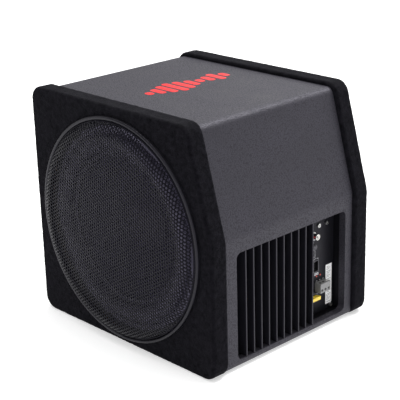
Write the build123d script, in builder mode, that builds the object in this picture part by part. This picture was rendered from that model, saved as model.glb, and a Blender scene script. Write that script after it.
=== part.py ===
"""Powered car subwoofer: a carpeted and vinyl-covered box, a 12-inch driver and a recessed amplifier."""

import math
import os

from build123d import *

os.makedirs("parts", exist_ok=True)

# Millimetres. X runs to the right seen from the front, Y runs back, Z up. Depths are measured back
# from the front carpet's face, and the origin is below the middle of the whole thing, on the floor.

# Enclosure
panel_width = 360.0
panel_height = 340.0
enclosure_depth = 310.0
slant_run = 41.0
kink_height = 188.0
corner_radius = 20.0
kink_radius = 40.0
end_panel = 28.0
carpet = 2.0
core_edge = 2.5
shell_inset = 6.0
shell_lift = 1.5
shell_fold = 12.0
vinyl = 1.0
board = 10.0
bay_board = 9.0
glue_gap = 0.3

# Driver opening and grille
driver_height = 167.0
rebate_radius = 157.0
rebate_depth = 15.5
cutout_radius = 141.0
grille_proud = 17.0
grille_radius = 159.0
rim_width = 5.2
mesh_thickness = 1.2
shoulder_radius = 128.0
shoulder_depth = 14.0

# Driver
flange_radius = 155.5
flange_front = 11.5
frame_gauge = 2.0
bolt_circle = 149.5
bolt_count = 8
roll_centre = 120.0
roll_radius = 12.0
cone_radius = 108.0
coil_radius = 25.2
magnet_radius = 78.0
magnet_front = 105.0
magnet_back = 130.0

# Amplifier bay and the opening in the right-hand side
opening_front = 50.0
opening_back = 268.0
opening_top = 166.0
opening_corner = 8.0
base_recess = 27.0
base_thickness = 4.0
panel_recess = 22.0
bay_recess = 74.0
fin_count = 10
fin_pitch = 14.7
first_fin = 67.7
fin_thickness = 2.3
panel_gauge = 1.5
panel_front_edge = 201.7
chassis_wall = 1.2

# Controls and sockets on the connector panel, each as (depth, height)
rca_left_at = (224.0, 135.0)
rca_right_at = (209.5, 135.0)
gain_at = (221.0, 120.0)
crossover_at = (208.5, 120.0)
boost_at = (208.5, 104.0)
phase_at = (224.0, 105.0)
high_level_at = (228.0, 88.0)
remote_at = (209.5, 84.0)
leds_at = ((232.0, 71.0), (240.0, 71.0))
terminal_at = (239.5, 55.0)
fuse_at = (220.0, 42.0)
label_depth = 258.5
label_top = 82.0
sleeve_radius = 4.15
knob_radius = 4.0
shaft_radius = 1.5
running_gap = 0.05
wire_bore = 2.0
wire_pitch = 7.0

# Derived places
carpet_edge = core_edge + carpet
front_y = grille_proud - (enclosure_depth + grille_proud) / 2
half_width = panel_width / 2
rear_front_face = enclosure_depth - end_panel
core_back = end_panel - carpet
rear_core_front = enclosure_depth - core_back
side_out = half_width - shell_inset - vinyl
side_in = side_out - board
floor_top = shell_lift + vinyl + board
opening_bottom = floor_top + vinyl
side_face = half_width - shell_inset
base_face = side_face - base_recess
panel_face = side_face - panel_recess
deep_back = side_face - bay_recess
slant_length = math.hypot(slant_run, panel_height - kink_height)
slant_normal_x = (panel_height - kink_height) / slant_length
slant_normal_z = slant_run / slant_length
bay_front = opening_front - vinyl
bay_back = opening_back + vinyl
bay_ceiling = opening_top + vinyl
driver_axis = Axis((0, front_y, driver_height), (0, 1, 0))
profile_plane = Plane(origin=(0, front_y, driver_height), x_dir=(1, 0, 0), z_dir=(0, 0, 1))


def face_at(depth):
    """The upright plane at a depth, facing the front."""
    return Plane(origin=(0, front_y + depth, 0), x_dir=(1, 0, 0), z_dir=(0, -1, 0))


def side_plane(x):
    """The upright plane at an x, facing right, with depth across and height up."""
    return Plane(origin=(x, front_y, 0), x_dir=(0, 1, 0), z_dir=(1, 0, 0))


def finish(piece, label):
    """Name a finished sub-part and write it out."""
    piece.part.label = label
    export_step(piece.part, f"parts/{label}.step")


def slant_x(height, inset):
    """Where a line parallel to the slanted side, set in by an inset, crosses a height."""
    return half_width - (inset + slant_normal_z * (height - kink_height)) / slant_normal_x


def kink_z(inset):
    """The height at which an inset outline turns from upright to slanted."""
    return kink_height - inset * (1 - slant_normal_x) / slant_normal_z


def section_points(inset, floor):
    """The five corners of the box's section, set in on all sides but the floor."""
    top = panel_height - inset
    return [
        (inset - half_width, floor),
        (half_width - inset, floor),
        (half_width - inset, kink_z(inset)),
        (slant_x(top, inset), top),
        (inset - half_width, top),
    ]


def section_slab(front, back, inset, floor, radii, mode=Mode.ADD):
    """A slab with the box's section between two depths."""
    with BuildPart(mode=Mode.PRIVATE) as slab:
        with BuildSketch(face_at(back)):
            with BuildLine():
                FilletPolyline(*section_points(inset, floor), radius=radii, close=True)
            make_face()
        extrude(amount=back - front)
    add(slab.part, mode=mode)


def disc(radius, front, back, mode=Mode.ADD):
    """A disc on the driver's axis between two depths."""
    middle = front_y + (front + back) / 2
    with Locations(Location((0, middle, driver_height), (90, 0, 0))):
        Cylinder(radius, back - front, mode=mode)


def block(x_span, depth_span, z_span, mode=Mode.ADD):
    """A box given by its limits in x, depth and height."""
    spans = (x_span, depth_span, z_span)
    middle = [(low + high) / 2 for low, high in spans]
    sizes = [high - low for low, high in spans]
    with Locations((middle[0], front_y + middle[1], middle[2])):
        Box(*sizes, mode=mode)


def rod(place, x_span, radius, mode=Mode.ADD):
    """A round bar along X at a (depth, height)."""
    middle = (sum(x_span) / 2, front_y + place[0], place[1])
    with Locations(Location(middle, (0, 90, 0))):
        Cylinder(radius, x_span[1] - x_span[0], mode=mode)


def patch(place, x_span, size, mode=Mode.ADD):
    """A box centred on a (depth, height), given its x limits."""
    block(
        x_span,
        (place[0] - size[0] / 2, place[0] + size[0] / 2),
        (place[1] - size[1] / 2, place[1] + size[1] / 2),
        mode,
    )


def turned(label, *outlines):
    """A piece turned about the driver's axis from outlines of (radius, depth) points."""
    with BuildPart() as piece:
        with BuildSketch(profile_plane):
            for points in outlines:
                with BuildLine():
                    Polyline(*points, close=True)
                make_face()
        revolve(axis=driver_axis)
    finish(piece, label)


def crown_depth(radius, apex, rim_radius, rim_depth):
    """How deep a spherical cap lies at a radius, from its apex on the axis and its rim."""
    rise = rim_depth - apex
    sphere = (rim_radius**2 + rise**2) / (2 * rise)
    return apex + sphere - math.sqrt(sphere**2 - radius**2)


def band(inner, outer, front, back):
    """The outline of a plain ring."""
    return [(inner, front), (outer, front), (outer, back), (inner, back)]


# ---- End panels ----

panel_radii = [corner_radius, corner_radius, kink_radius, corner_radius, corner_radius]
core_radii = [radius - carpet for radius in panel_radii]
shell_radii = [corner_radius / 2, corner_radius / 2, kink_radius - shell_inset, shell_fold, shell_fold]
vinyl_radii = [radius - vinyl for radius in shell_radii]
lip_inset = shell_inset - glue_gap
lip_radii = [radius + glue_gap for radius in shell_radii]
lip_floor = shell_lift - glue_gap


screw_angles = [360 / bolt_count * (step + 0.5) for step in range(bolt_count)]
screw_spots = [
    (
        bolt_circle * math.cos(math.radians(angle)),
        driver_height + bolt_circle * math.sin(math.radians(angle)),
    )
    for angle in screw_angles
]
screw_shank = 2.1
screw_end = 25.0


def screw_holes(radius, front, back, mode=Mode.SUBTRACT):
    """A bar at each frame screw between two depths."""
    for x, z in screw_spots:
        middle = (x, front_y + (front + back) / 2, z)
        with Locations(Location(middle, (90, 0, 0))):
            Cylinder(radius, back - front, mode=mode)


with BuildPart() as front_baffle:
    section_slab(carpet, core_back, carpet, carpet, core_radii)
    fillet(front_baffle.faces().filter_by(Axis.Y).edges(), core_edge)
    disc(rebate_radius, 0, rebate_depth, Mode.SUBTRACT)
    disc(cutout_radius, 0, end_panel, Mode.SUBTRACT)
    screw_holes(screw_shank, rebate_depth - 1, screw_end)
finish(front_baffle, "front_baffle")

with BuildPart() as front_carpet:
    section_slab(0, end_panel, 0, 0, panel_radii)
    fillet(front_carpet.faces().filter_by(Axis.Y).edges(), carpet_edge)
    with BuildPart(mode=Mode.PRIVATE) as front_filling:
        section_slab(carpet, core_back, carpet, carpet, core_radii)
        fillet(front_filling.faces().filter_by(Axis.Y).edges(), core_edge)
    add(front_filling.part, mode=Mode.SUBTRACT)
    section_slab(core_back, end_panel, lip_inset, lip_floor, lip_radii, Mode.SUBTRACT)
    disc(rebate_radius, -1, carpet + 1, Mode.SUBTRACT)
finish(front_carpet, "front_carpet")

with BuildPart() as rear_panel:
    section_slab(rear_core_front, enclosure_depth - carpet, carpet, carpet, core_radii)
    fillet(rear_panel.faces().filter_by(Axis.Y).edges(), core_edge)
finish(rear_panel, "rear_panel")

with BuildPart() as rear_carpet:
    section_slab(rear_front_face, enclosure_depth, 0, 0, panel_radii)
    fillet(rear_carpet.faces().filter_by(Axis.Y).edges(), carpet_edge)
    add(rear_panel.part, mode=Mode.SUBTRACT)
    section_slab(rear_front_face, rear_core_front, lip_inset, lip_floor, lip_radii, Mode.SUBTRACT)
finish(rear_carpet, "rear_carpet")

# ---- Shell boards between the end panels ----

board_inset = shell_inset + vinyl
inner_inset = board_inset + board
board_floor = shell_lift + vinyl
board_kink = kink_z(board_inset)
inner_top = panel_height - inner_inset
run = (core_back, rear_core_front)


def section_ring():
    """The boards' whole section, as one tube, for cutting into boards."""
    section_slab(*run, board_inset, board_floor, vinyl_radii)
    section_slab(*run, inner_inset, floor_top, [0, 0, kink_radius / 2, 0, 0], Mode.SUBTRACT)


with BuildPart() as bottom_board:
    block((-side_in, side_in), run, (board_floor, floor_top))
finish(bottom_board, "bottom_board")

with BuildPart() as left_board:
    section_ring()
    block((-side_in, half_width), run, (0, panel_height), Mode.SUBTRACT)
    block((-half_width, half_width), run, (inner_top, panel_height), Mode.SUBTRACT)
finish(left_board, "left_board")

with BuildPart() as top_board:
    section_ring()
    block((-half_width, half_width), run, (0, inner_top), Mode.SUBTRACT)
finish(top_board, "top_board")

with BuildPart() as slant_board:
    section_ring()
    block((-half_width, 0), run, (0, panel_height), Mode.SUBTRACT)
    block((-half_width, half_width), run, (0, board_kink), Mode.SUBTRACT)
    block((-half_width, half_width), run, (inner_top, panel_height), Mode.SUBTRACT)
finish(slant_board, "slant_board")


def opening_cut(margin, x_span, mode=Mode.SUBTRACT):
    """The amplifier opening through the right-hand side, grown by a margin."""
    depth_size = opening_back - opening_front + 2 * margin
    height_size = opening_top - opening_bottom + 2 * margin
    centre = ((opening_front + opening_back) / 2, (opening_top + opening_bottom) / 2)
    with BuildPart(mode=Mode.PRIVATE) as cut:
        with BuildSketch(side_plane(x_span[0])):
            with Locations(centre):
                RectangleRounded(depth_size, height_size, opening_corner + margin)
        extrude(amount=x_span[1] - x_span[0])
    add(cut.part, mode=mode)


with BuildPart() as side_board:
    section_ring()
    block((-half_width, side_in), run, (0, panel_height), Mode.SUBTRACT)
    block((-half_width, half_width), run, (board_kink, panel_height), Mode.SUBTRACT)
    opening_cut(vinyl, (side_in - 1, half_width))
finish(side_board, "side_board")

with BuildPart() as vinyl_wrap:
    section_slab(*run, shell_inset, shell_lift, shell_radii)
    section_slab(*run, board_inset, board_floor, vinyl_radii, Mode.SUBTRACT)
    opening_cut(vinyl, (side_in, side_out + vinyl / 2), Mode.ADD)
    opening_cut(0, (side_in - 1, half_width))
finish(vinyl_wrap, "vinyl_wrap")

# ---- Sealed bay that holds the amplifier ----

shallow_back = base_face - bay_board
step_front = 91.0
step_back = step_front + bay_board
bay_height = (floor_top, bay_ceiling)
lead_hole_at = (118.0, 120.0)
lead_radius = 2.0
lead_hole = lead_radius + 0.5
amp_screw_edge = 5.0
amp_screw_rows = (opening_bottom + amp_screw_edge - 1, opening_top - amp_screw_edge)
amp_screw_spots = [
    (depth, height)
    for depth in (opening_front + amp_screw_edge, opening_back - amp_screw_edge - 0.5)
    for height in amp_screw_rows
]
amp_screw_shank = 1.6
amp_screw_end = base_face - 7
brace_spots = ((236.0, 147.0), (252.0, 147.0))

with BuildPart() as bay_ends:
    block((shallow_back, side_in), (bay_front - bay_board, bay_front), bay_height)
    block((deep_back, side_in), (bay_back, rear_core_front), bay_height)
finish(bay_ends, "bay_ends")

with BuildPart() as bay_top_board:
    top_span = (bay_ceiling, bay_ceiling + bay_board)
    block((shallow_back, side_in), (bay_front - bay_board, step_front), top_span)
    block((deep_back, side_in), (step_front, rear_core_front), top_span)
finish(bay_top_board, "bay_top")

with BuildPart() as bay_back_boards:
    block((shallow_back, base_face), (bay_front, step_front), bay_height)
    for spot in amp_screw_spots[:2]:
        rod(spot, (amp_screw_end, base_face + 1), amp_screw_shank, Mode.SUBTRACT)
with BuildPart() as bay_step_board:
    block((deep_back, base_face), (step_front, step_back), bay_height)
with BuildPart() as bay_inner_board:
    block((deep_back, deep_back + bay_board), (step_back, bay_back), bay_height)
    rod(lead_hole_at, (deep_back - 1, deep_back + bay_board + 1), lead_hole, Mode.SUBTRACT)
for piece, label in (
    (bay_back_boards, "bay_back_outer"),
    (bay_step_board, "bay_step"),
    (bay_inner_board, "bay_back_inner"),
):
    finish(piece, label)

# ---- Glue blocks and wadding inside ----

batten = 15.0
cleat_front = bay_back - 11.5
chassis_back = deep_back + bay_board + 2
inside_run = (core_back, rear_core_front)
with BuildPart() as battens:
    block((-side_in, batten - side_in), inside_run, (floor_top, floor_top + batten))
    block((-side_in, batten - side_in), inside_run, (inner_top - batten, inner_top))
    top_right = slant_x(inner_top, inner_inset)
    block((top_right - batten, top_right), inside_run, (inner_top - batten, inner_top))
    block((base_face - 12, base_face), (cleat_front, bay_back), bay_height)
    for spot in amp_screw_spots[2:]:
        rod(spot, (amp_screw_end, base_face + 1), amp_screw_shank, Mode.SUBTRACT)
finish(battens, "battens")

wadding_depth = 24.0
wadding_height = (floor_top + batten + 1, inner_top - batten - 1)
with BuildPart() as wadding:
    left_side = glue_gap - side_in
    block((left_side, left_side + wadding_depth), (60, rear_core_front - glue_gap), wadding_height)
    rear_side = (rear_core_front - glue_gap - wadding_depth / 2, rear_core_front - glue_gap)
    block((left_side, deep_back - 5), rear_side, wadding_height)
finish(wadding, "wadding")

# ---- Red decal on the top ----

decal_centre = (-32.0, 165.0)
decal_pitch = 16.0
decal_bar = 11.5
decal_lengths = (14.0, 28.0, 42.0, 52.0, 44.0, 30.0, 16.0, 26.0, 38.0, 20.0)
decal_thickness = 0.2
with BuildPart() as emblem:
    with BuildSketch(Plane.XY.offset(panel_height - shell_inset)):
        for step, length in enumerate(decal_lengths):
            along = decal_centre[1] + (step - (len(decal_lengths) - 1) / 2) * decal_pitch
            with Locations((decal_centre[0], front_y + along)):
                RectangleRounded(length, decal_bar, decal_bar * 0.45)
    extrude(amount=decal_thickness)
finish(emblem, "emblem")

# ---- Driver ----

gasket_face = flange_front + frame_gauge
wall_radius = 138.0
with BuildPart() as mounting_gasket:
    disc(flange_radius - 0.5, gasket_face, rebate_depth)
    disc(cutout_radius + 1, gasket_face - 1, rebate_depth + 1, Mode.SUBTRACT)
    screw_holes(screw_shank, gasket_face - 1, rebate_depth + 1)
finish(mounting_gasket, "mounting_gasket")

wall_back = 24.0
former_wall = 0.5
winding = 1.5
coil_gap = 0.6
pole_radius = coil_radius - coil_gap
plate_bore = coil_radius + former_wall + winding + coil_gap
clear_hole = plate_bore + 2.2
cone_foot = 84.8
ledge = 78.0
pot_radius = 68.0
pot_back = 97.0
basket_outline = [
    (flange_radius, flange_front),
    (flange_radius, gasket_face),
    (wall_radius, gasket_face),
    (wall_radius, wall_back),
    (cone_foot, ledge + frame_gauge),
    (pot_radius, ledge + frame_gauge),
    (pot_radius, pot_back),
    (clear_hole, pot_back),
    (clear_hole, pot_back - frame_gauge),
    (pot_radius - frame_gauge, pot_back - frame_gauge),
    (pot_radius - frame_gauge, ledge),
    (cone_foot - 0.9, ledge),
    (wall_radius - frame_gauge, wall_back - 0.8),
    (wall_radius - frame_gauge, flange_front),
]
window_count = 6
window_inner = 92.0
window_outer = 128.0
window_angle = 38.0
with BuildPart() as basket:
    with BuildSketch(profile_plane):
        with BuildLine():
            Polyline(*basket_outline, close=True)
        make_face()
    revolve(axis=driver_axis)
    screw_holes(screw_shank, flange_front - 1, gasket_face + 1)
    with BuildPart(mode=Mode.PRIVATE) as windows:
        with BuildSketch(face_at(ledge + frame_gauge)):
            with Locations((0, driver_height)):
                with BuildSketch(mode=Mode.PRIVATE) as window:
                    half = math.radians(window_angle / 2)
                    with BuildLine():
                        inner_start = (window_inner * math.cos(half), -window_inner * math.sin(half))
                        inner_end = (inner_start[0], -inner_start[1])
                        outer_start = (window_outer * math.cos(half), -window_outer * math.sin(half))
                        outer_end = (outer_start[0], -outer_start[1])
                        Line(inner_start, outer_start)
                        ThreePointArc(outer_start, (window_outer, 0), outer_end)
                        Line(outer_end, inner_end)
                        ThreePointArc(inner_end, (window_inner, 0), inner_start)
                    make_face()
                    fillet(window.vertices(), 5)
                with PolarLocations(0, window_count, start_angle=30):
                    add(window.sketch)
        extrude(amount=ledge + frame_gauge - wall_back + 2)
    add(windows.part, mode=Mode.SUBTRACT)
finish(basket, "basket")

gasket_front = 8.0
gasket_inner = 136.5
gasket_outer = 144.0
rubber = 1.0
turned("front_gasket", band(gasket_inner, gasket_outer, gasket_front, flange_front - rubber))

head_radius = 4.0
head_front = 8.9
with BuildPart() as driver_screws:
    screw_holes(screw_shank, flange_front, screw_end, Mode.ADD)
    screw_holes(head_radius, head_front, flange_front, Mode.ADD)
    screw_holes(1.4, head_front - 1, head_front + 1.2, Mode.SUBTRACT)
finish(driver_screws, "driver_screws")

roll_back = flange_front - rubber
soft_gap = 0.3
with BuildPart() as surround:
    with BuildSketch(profile_plane):
        with Locations((roll_centre, roll_back)):
            Circle(roll_radius + rubber / 2)
            Circle(roll_radius - rubber / 2, mode=Mode.SUBTRACT)
        with Locations((roll_centre, roll_back + roll_radius)):
            Rectangle(3 * roll_radius, 2 * roll_radius, mode=Mode.SUBTRACT)
        with Locations((roll_centre + roll_radius + 5.5, roll_back + rubber / 2)):
            Rectangle(12, rubber)
        with Locations((roll_centre - roll_radius - 3, roll_back + rubber / 2)):
            Rectangle(7, rubber)
    revolve(axis=driver_axis)
finish(surround, "surround")

lip_face = flange_front + soft_gap
cone_paper = 1.5
cone_neck_depth = 58.0
cone_neck = coil_radius + former_wall + 0.1
cone_lip_inner = 103.0
cone_lip_front = cone_lip_inner - 0.6
cone_slope = (cone_neck_depth - lip_face) / (cone_lip_front - cone_neck)
turned(
    "cone",
    [
        (cone_radius, lip_face),
        (cone_radius, lip_face + cone_paper),
        (cone_lip_inner, lip_face + cone_paper),
        (cone_neck, cone_neck_depth + cone_paper),
        (cone_neck, cone_neck_depth),
        (cone_lip_front, lip_face),
    ],
)

cap_radius = 45.0
cap_edge = lip_face + (cone_lip_front - cap_radius) * cone_slope - 0.8
cap_apex = 33.0
cap_wall = 1.2


def cap_form(inset, mode=Mode.ADD):
    """The dust cap's dome, solid to its axis and its flat back, set in by an inset."""
    apex = cap_apex + inset
    rim_depth = cap_edge
    rim = cap_radius - 2 * inset
    middle = (rim / 2, crown_depth(rim / 2, apex, rim, rim_depth))
    with BuildPart(mode=Mode.PRIVATE) as form:
        with BuildSketch(profile_plane):
            with BuildLine():
                ThreePointArc((0, apex), middle, (rim, rim_depth))
                Line((rim, rim_depth), (0, rim_depth))
                Line((0, rim_depth), (0, apex))
            make_face()
        revolve(axis=driver_axis)
    add(form.part, mode=mode)


with BuildPart() as dust_cap:
    cap_form(0)
    cap_form(cap_wall, Mode.SUBTRACT)
finish(dust_cap, "dust_cap")

former_back = 112.0
turned("voice_coil_former", band(coil_radius, coil_radius + former_wall, 50, former_back))
turned("voice_coil", band(coil_radius + former_wall, coil_radius + former_wall + winding, 92, former_back))

spider_depth = 75.0
spider_wave = 1.8
spider_cloth = 0.8
spider_inner = coil_radius + former_wall + soft_gap
spider_outer = 69.0
wave_count = 5


def wave_points(lift):
    """Points along the corrugations of the spider."""
    steps = wave_count * 4
    return [
        (
            spider_inner + (spider_outer - spider_inner) * step / steps,
            spider_depth + lift - spider_wave * math.sin(math.tau * wave_count * step / steps),
        )
        for step in range(steps + 1)
    ]


with BuildPart() as spider:
    with BuildSketch(profile_plane):
        with BuildLine():
            near = wave_points(0)
            far = wave_points(spider_cloth)
            Spline(*near)
            Line(near[-1], far[-1])
            Spline(*reversed(far))
            Line(far[0], near[0])
        make_face()
        with Locations((spider_outer, (spider_depth + ledge) / 2)):
            Rectangle(1.6, ledge - spider_depth)
        with Locations((spider_outer + 6, ledge - spider_cloth / 2)):
            Rectangle(12, spider_cloth)
    revolve(axis=driver_axis)
finish(spider, "spider")

plate_radius = 70.0
yoke_back = magnet_back + 8
vent_radius = 8.0
turned("top_plate", band(plate_bore, plate_radius, pot_back, magnet_front))
turned("magnet", band(45, magnet_radius, magnet_front, magnet_back))
turned(
    "yoke",
    [
        (vent_radius, pot_back),
        (pole_radius, pot_back),
        (pole_radius, magnet_back),
        (72, magnet_back),
        (72, yoke_back),
        (vent_radius, yoke_back),
    ],
)

tab_board = (86.0, 87.6)
tab_blade = (87.6, 88.4)
tab_width = 6.3
tab_bottom = driver_height - 17
with BuildPart() as terminal_tabs:
    block((pot_radius - 5, pot_radius + 14), tab_board, (driver_height - 9, driver_height + 9))
    disc(pot_radius, 80, 90, Mode.SUBTRACT)
    for middle in (pot_radius + 3.4, pot_radius + 10.4):
        blade_span = (middle - tab_width / 2, middle + tab_width / 2)
        block(blade_span, tab_blade, (tab_bottom, driver_height + 6))
finish(terminal_tabs, "terminal_tabs")

lead_x = pot_radius + 7
lead_depth = 88.0
lead_route = [
    (chassis_back + 3, front_y + lead_hole_at[0], lead_hole_at[1]),
    (lead_x + 4, front_y + lead_hole_at[0], lead_hole_at[1]),
    (lead_x, front_y + lead_depth, lead_hole_at[1] - 2),
    (lead_x, front_y + lead_depth, tab_bottom - 0.5),
]
lead_bend = 11.0
with BuildPart() as speaker_lead:
    with BuildLine() as lead_path:
        FilletPolyline(*lead_route, radius=lead_bend)
    with BuildSketch(lead_path.line ^ 0):
        Circle(lead_radius)
    sweep(path=lead_path.line)
finish(speaker_lead, "speaker_lead")

# ---- Grille ----

rim_inner = grille_radius - rim_width
rim_front = -5.0
skirt_outer = rim_inner - 0.2
skirt_back = 7.0
with BuildPart() as grille_rim:
    with BuildSketch(profile_plane):
        with Locations(((rim_inner + grille_radius) / 2, rim_front / 2)):
            Rectangle(rim_width, -rim_front)
        with Locations(((rim_inner + rebate_radius - 0.4) / 2, skirt_back / 2)):
            Rectangle(rebate_radius - 0.4 - rim_inner, skirt_back)
    revolve(axis=driver_axis)
    fillet(grille_rim.edges().sort_by(Axis.Y)[:2], 1.8)
finish(grille_rim, "grille_rim")

shoulder_start = -4.0


def dome(inset, back, mode=Mode.ADD):
    """The grille's domed form, solid to its axis, set in by an inset."""
    edge = skirt_outer - inset
    start = shoulder_start + inset
    bend = (edge - 8.5, (start - shoulder_depth + inset) / 2 - 2.6)
    shoulder = (shoulder_radius - inset / 2, inset - shoulder_depth)
    crown = (0, inset - grille_proud)
    crown_middle = (shoulder[0] / 2, crown_depth(shoulder[0] / 2, crown[1], *shoulder))
    with BuildPart(mode=Mode.PRIVATE) as form:
        with BuildSketch(profile_plane):
            with BuildLine():
                Line((0, back), (edge, back))
                Line((edge, back), (edge, start))
                ThreePointArc((edge, start), bend, shoulder)
                ThreePointArc(shoulder, crown_middle, crown)
                Line(crown, (0, back))
            make_face()
        revolve(axis=driver_axis)
    add(form.part, mode=mode)


with BuildPart() as grille_mesh:
    dome(0, skirt_back)
    dome(mesh_thickness, skirt_back + 1, Mode.SUBTRACT)
finish(grille_mesh, "grille_mesh")

# ---- Amplifier: heatsink, connector panel and what is behind them ----

base_front = base_face + base_thickness
fin_tip = side_out + vinyl / 2
base_height = (opening_bottom - 0.5, opening_top + 0.5)
fin_height = (opening_bottom + 0.5, opening_top - 0.5)
heatsink_back = panel_front_edge - 0.2
with BuildPart() as heatsink:
    block((base_face, base_front), (bay_front + 0.5, heatsink_back), base_height)
    for step in range(fin_count):
        middle = first_fin + step * fin_pitch
        fin_depth = (middle - fin_thickness / 2, middle + fin_thickness / 2)
        block((base_front, fin_tip), fin_depth, fin_height)
    tips = heatsink.faces().filter_by(Axis.X).group_by(Axis.X)[-1]
    fillet(tips.edges().filter_by(Axis.Z), fin_thickness * 0.35)
    for spot in amp_screw_spots[:2]:
        rod(spot, (base_face - 1, base_front + 1), amp_screw_shank, Mode.SUBTRACT)
finish(heatsink, "heatsink")

panel_back = panel_face - panel_gauge
panel_span = (panel_back, panel_face)
cut_span = (panel_back - 1, panel_face + 1)
chassis_depth = (step_back + 2, cleat_front - 1)
chassis_height = (20.0, 160.0)
bushing_radius = 3.5
rca_hole = 4.7
switch_slot = (3.4, 8.0)
high_level_size = (12.0, 18.0)
remote_size = (12.0, 13.0)
holder_size = (23.0, 11.0)
led_radius = 1.5
pot_places = (gain_at, crossover_at, boost_at)
with BuildPart() as connector_panel:
    block(panel_span, (panel_front_edge, bay_back - 0.5), base_height)
    tray = (panel_front_edge + 0.5, chassis_depth[1])
    block((base_face, panel_back), tray, chassis_height)
    tray_inner = (tray[0] + chassis_wall, tray[1] - chassis_wall)
    tray_height = (chassis_height[0] + chassis_wall, chassis_height[1] - chassis_wall)
    block((base_face - 1, panel_back), tray_inner, tray_height, Mode.SUBTRACT)
    for spot in (rca_left_at, rca_right_at):
        rod(spot, cut_span, rca_hole, Mode.SUBTRACT)
    for spot in pot_places:
        rod(spot, cut_span, bushing_radius, Mode.SUBTRACT)
    for spot in leds_at:
        rod(spot, cut_span, led_radius, Mode.SUBTRACT)
    patch(phase_at, cut_span, switch_slot, Mode.SUBTRACT)
    patch(high_level_at, cut_span, high_level_size, Mode.SUBTRACT)
    patch(remote_at, cut_span, remote_size, Mode.SUBTRACT)
    patch(fuse_at, cut_span, holder_size, Mode.SUBTRACT)
    for spot in (*amp_screw_spots[2:], *brace_spots):
        rod(spot, cut_span, amp_screw_shank, Mode.SUBTRACT)
finish(connector_panel, "connector_panel")

with BuildPart() as chassis:
    block((chassis_back, base_face), chassis_depth, chassis_height)
    chassis_inner = [
        (low + chassis_wall, high - chassis_wall)
        for low, high in (chassis_depth, chassis_height)
    ]
    block((chassis_back + chassis_wall, base_face + 1), *chassis_inner, Mode.SUBTRACT)
    rod(lead_hole_at, (chassis_back - 1, chassis_back + 3), lead_hole, Mode.SUBTRACT)
finish(chassis, "chassis")

laminate = 1.6
main_board = (base_face - 30, base_face - 30 + laminate)
jack_board = (base_face - 13, base_face - 13 + laminate)
with BuildPart() as circuit_board:
    block(main_board, (130, 252), (26, 156))
    block(jack_board, (204, 250), (30, 150))
finish(circuit_board, "circuit_board")

toroid_at = (160.0, 62.0)
with BuildPart() as toroid:
    rod(toroid_at, (main_board[1], main_board[1] + 18), 24)
    rod(toroid_at, (main_board[1], main_board[1] + 20), 10, Mode.SUBTRACT)
    fillet(toroid.edges().filter_by(GeomType.CIRCLE), 4)
finish(toroid, "toroid")

with BuildPart() as capacitors:
    for depth in (150.0, 172.0):
        for height in (106.0, 130.0):
            rod((depth, height), (main_board[1], main_board[1] + 22), 9)
finish(capacitors, "capacitors")

with BuildPart() as transistors:
    for height in (40.0, 56.0, 72.0, 104.0, 120.0, 136.0):
        patch((192.0, height), (base_face - 4.5, base_face), (15.0, 10.0))
finish(transistors, "transistors")

# ---- Sockets ----

collar_radius = 5.5
collar_face = panel_face + 1.5
sleeve_tip = collar_face + 8.0
sleeve_bore = sleeve_radius - 0.65
sleeve_root = sleeve_radius - 0.3
for place, label in ((rca_left_at, "rca_left"), (rca_right_at, "rca_right")):
    with BuildPart() as insulator:
        rod(place, (panel_face, collar_face), collar_radius)
        rod(place, (jack_board[1], panel_face), rca_hole)
        rod(place, (jack_board[1] + 4, collar_face + 1), sleeve_root, Mode.SUBTRACT)
        rod(place, (jack_board[1] + 4, sleeve_tip - 1.5), sleeve_bore)
        rod(place, (panel_face - 2, sleeve_tip), 1.7, Mode.SUBTRACT)
    finish(insulator, label)

with BuildPart() as rca_sleeves:
    for place in (rca_left_at, rca_right_at):
        rod(place, (jack_board[1] + 4, collar_face), sleeve_root)
        rod(place, (collar_face, sleeve_tip), sleeve_radius)
        rod(place, (jack_board[1] + 3, sleeve_tip + 1), sleeve_bore, Mode.SUBTRACT)
finish(rca_sleeves, "rca_sleeves")


def framed_socket(place, size, wall, proud, depth):
    """A moulded housing through the panel, with its cavity open to the right."""
    patch(place, (jack_board[1], panel_face + proud), size)
    cavity = (size[0] - 2 * wall, size[1] - 2 * wall)
    patch(place, (panel_face + proud - depth, panel_face + proud + 1), cavity, Mode.SUBTRACT)


with BuildPart() as high_level_socket:
    framed_socket(high_level_at, high_level_size, 1.4, 2.5, 9)
    for step in (-1.5, -0.5, 0.5, 1.5):
        pin = (high_level_at[0], high_level_at[1] + step * 3.6)
        patch(pin, (panel_face - 7, panel_face), (1.0, 1.0))
finish(high_level_socket, "high_level_socket")

with BuildPart() as remote_port:
    framed_socket(remote_at, remote_size, 1.5, 1.5, 10)
finish(remote_port, "remote_port")

terminal_size = (22.0, 14.0)
module_gap = 0.2
screw_radius = 1.9
terminal_tip = panel_face + 11
bore_base = panel_face + 3
wire_row = terminal_at[1] - 3.0
screw_x = panel_face + 6.5
terminal_steps = (-wire_pitch, 0, wire_pitch)
terminal_top = terminal_at[1] + terminal_size[1] / 2


def terminal_rods(radius, bottom, top, mode):
    """An upright bar at each terminal screw."""
    for step in terminal_steps:
        middle = (screw_x, front_y + terminal_at[0] + step, (bottom + top) / 2)
        with Locations(middle):
            Cylinder(radius, top - bottom, mode=mode)


screw_bottom = wire_row + wire_bore + 0.4
with BuildPart() as power_terminal:
    for step in terminal_steps:
        middle = (terminal_at[0] + step, terminal_at[1])
        patch(middle, (panel_face, terminal_tip), (wire_pitch - module_gap, terminal_size[1]))
        rod((middle[0], wire_row), (bore_base, terminal_tip + 1), wire_bore, Mode.SUBTRACT)
    terminal_rods(screw_radius, screw_bottom, terminal_top + 1, Mode.SUBTRACT)
finish(power_terminal, "power_terminal")

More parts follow.
